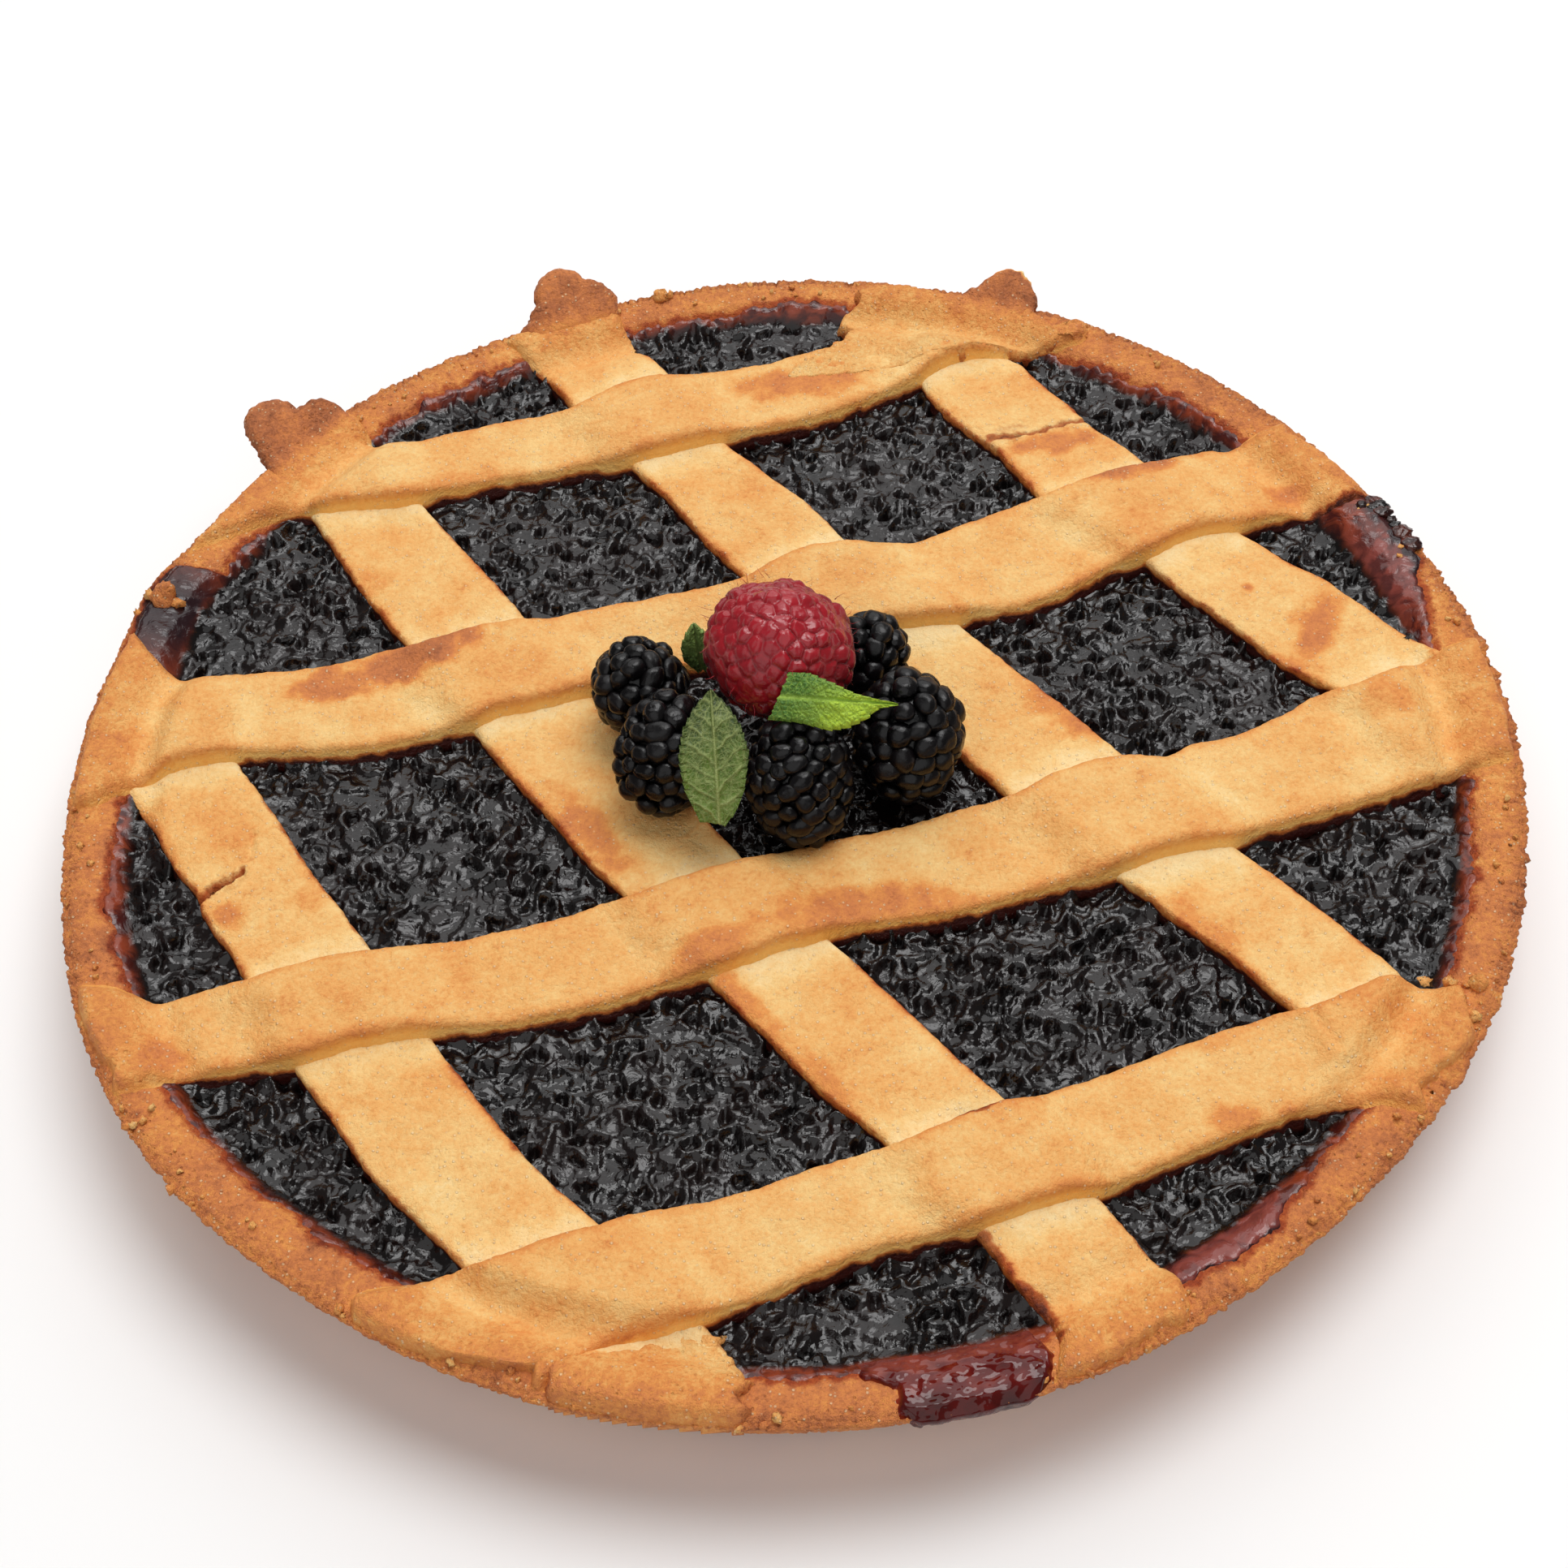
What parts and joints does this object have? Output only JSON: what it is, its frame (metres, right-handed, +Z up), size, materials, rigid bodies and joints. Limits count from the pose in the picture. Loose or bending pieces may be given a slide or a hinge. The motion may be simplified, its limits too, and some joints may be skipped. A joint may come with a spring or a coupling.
{
  "type": "jam crostata",
  "caption": "Round shortcrust tart filled with dark jam, under a hand-laid lattice of pastry strips, topped in the middle with dark and red berries and mint leaves.",
  "frame": {"origin": "middle of the flat underside, on the axis of the round rim", "axes": "+Z up through the tart; -Y towards the front, the side that the tart is shown from; the upper strips run roughly along X"},
  "size_m": [0.2499, 0.2516, 0.054],
  "materials": {
    "crust": "baked shortcrust, golden brown, matte and grainy",
    "pastry_strip": "baked pastry, golden tan, matte with a faint sheen",
    "jam": "near-black lumpy jam, glossy",
    "dark_berry": "black drupelets, softly glossy",
    "red_berry": "deep red drupelets, satin",
    "mint": "fresh green leaf, veined, satin"
  },
  "bodies": {
    "root": {"crust": "crust", "jam_filling": "jam", "strip_under_1": "pastry_strip", "strip_under_2": "pastry_strip", "strip_under_3": "pastry_strip", "strip_under_4": "pastry_strip", "strip_over_1": "pastry_strip", "strip_over_2": "pastry_strip", "strip_over_3": "pastry_strip", "strip_over_4": "pastry_strip", "dark_berry_1": "dark_berry", "dark_berry_2": "dark_berry", "dark_berry_3": "dark_berry", "dark_berry_4": "dark_berry", "dark_berry_5": "dark_berry", "red_berry": "red_berry", "mint_leaf_1": "mint", "mint_leaf_2": "mint", "mint_leaf_3": "mint"}
  },
  "joints": []
}
